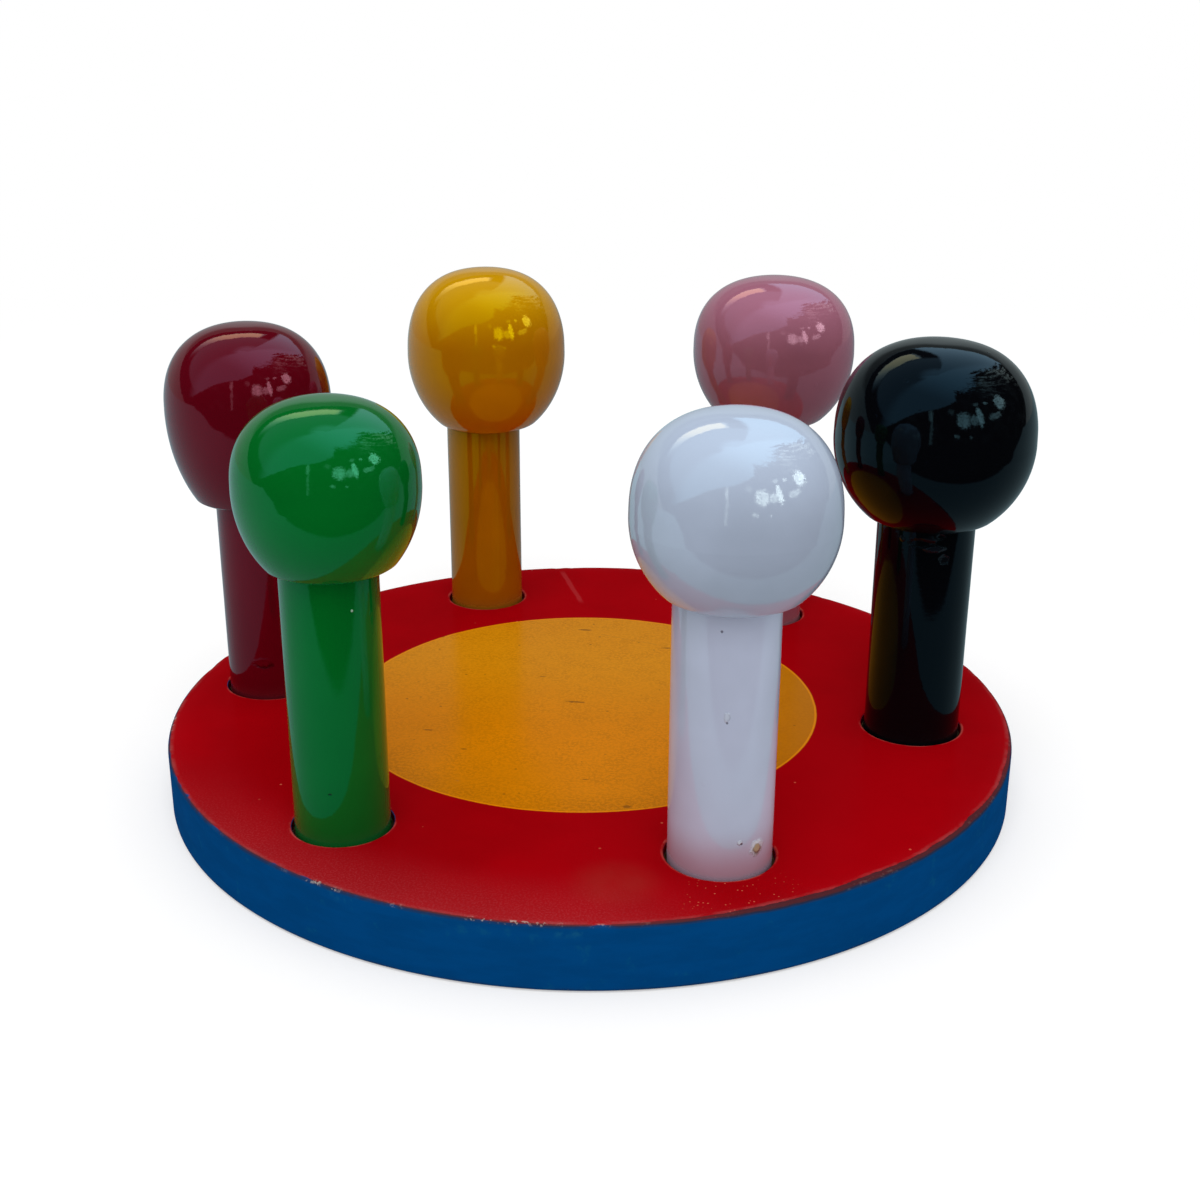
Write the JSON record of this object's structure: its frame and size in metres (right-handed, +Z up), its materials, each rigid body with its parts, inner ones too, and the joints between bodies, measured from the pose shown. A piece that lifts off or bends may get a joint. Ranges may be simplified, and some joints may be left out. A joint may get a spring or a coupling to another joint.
{
  "type": "mushroom peg board",
  "caption": "Round painted wooden board with a ring of blind sockets, and ball-headed mushroom pegs that stand in them and lift straight out.",
  "frame": {"origin": "middle of the board's underside, on the surface that it stands on", "axes": "+Z up, the way the pegs lift out; +X towards the black peg, with the pink, amber, maroon, green and white pegs following anticlockwise seen from above"},
  "size_m": [0.3025, 0.3, 0.162],
  "materials": {
    "board_paint": "satin enamel over wood",
    "black_enamel": "gloss enamel over turned wood",
    "pink_enamel": "gloss enamel over turned wood",
    "amber_enamel": "gloss enamel over turned wood",
    "maroon_enamel": "gloss enamel over turned wood",
    "green_enamel": "gloss enamel over turned wood",
    "white_enamel": "gloss enamel over turned wood"
  },
  "bodies": {
    "board": {"board": "board_paint"},
    "peg_black": {"stem_black": "black_enamel", "head_black": "black_enamel"},
    "peg_pink": {"stem_pink": "pink_enamel", "head_pink": "pink_enamel"},
    "peg_amber": {"stem_amber": "amber_enamel", "head_amber": "amber_enamel"},
    "peg_maroon": {"stem_maroon": "maroon_enamel", "head_maroon": "maroon_enamel"},
    "peg_green": {"stem_green": "green_enamel", "head_green": "green_enamel"},
    "peg_white": {"stem_white": "white_enamel", "head_white": "white_enamel"}
  },
  "joints": [
    {"name": "lift_black", "type": "slide", "parent": "board", "child": "peg_black", "axis": [0, 0, 1], "range_m": [0, 0.06]},
    {"name": "lift_pink", "type": "slide", "parent": "board", "child": "peg_pink", "axis": [0, 0, 1], "range_m": [0, 0.06]},
    {"name": "lift_amber", "type": "slide", "parent": "board", "child": "peg_amber", "axis": [0, 0, 1], "range_m": [0, 0.06]},
    {"name": "lift_maroon", "type": "slide", "parent": "board", "child": "peg_maroon", "axis": [0, 0, 1], "range_m": [0, 0.06]},
    {"name": "lift_green", "type": "slide", "parent": "board", "child": "peg_green", "axis": [0, 0, 1], "range_m": [0, 0.06]},
    {"name": "lift_white", "type": "slide", "parent": "board", "child": "peg_white", "axis": [0, 0, 1], "range_m": [0, 0.06]}
  ]
}
